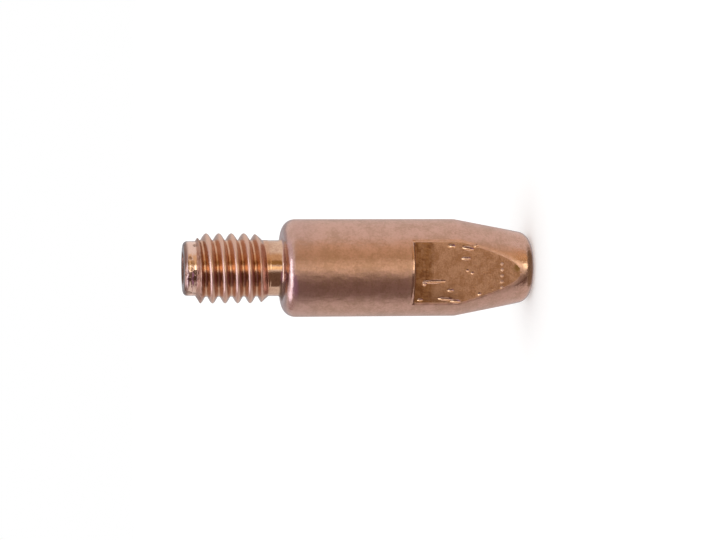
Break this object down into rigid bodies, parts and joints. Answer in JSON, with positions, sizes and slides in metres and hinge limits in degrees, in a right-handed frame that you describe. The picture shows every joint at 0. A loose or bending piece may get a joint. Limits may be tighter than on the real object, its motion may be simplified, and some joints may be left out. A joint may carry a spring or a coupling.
{
  "type": "welding contact tip",
  "caption": "Turned copper contact tip for a wire-feed welding torch: threaded end, undercut and shoulder, tapered nose with spanner flats and a wire bore.",
  "frame": {"origin": "centre of the nose face, where the wire leaves the bore", "axes": "+Z runs along the wire bore from the nose to the thread end; the two spanner flats face -Y and +Y"},
  "size_m": [0.0078, 0.0078, 0.028],
  "materials": {
    "copper": "satin, turned copper with a light tarnish"
  },
  "bodies": {
    "root": {"contact_tip": "copper"}
  },
  "joints": []
}
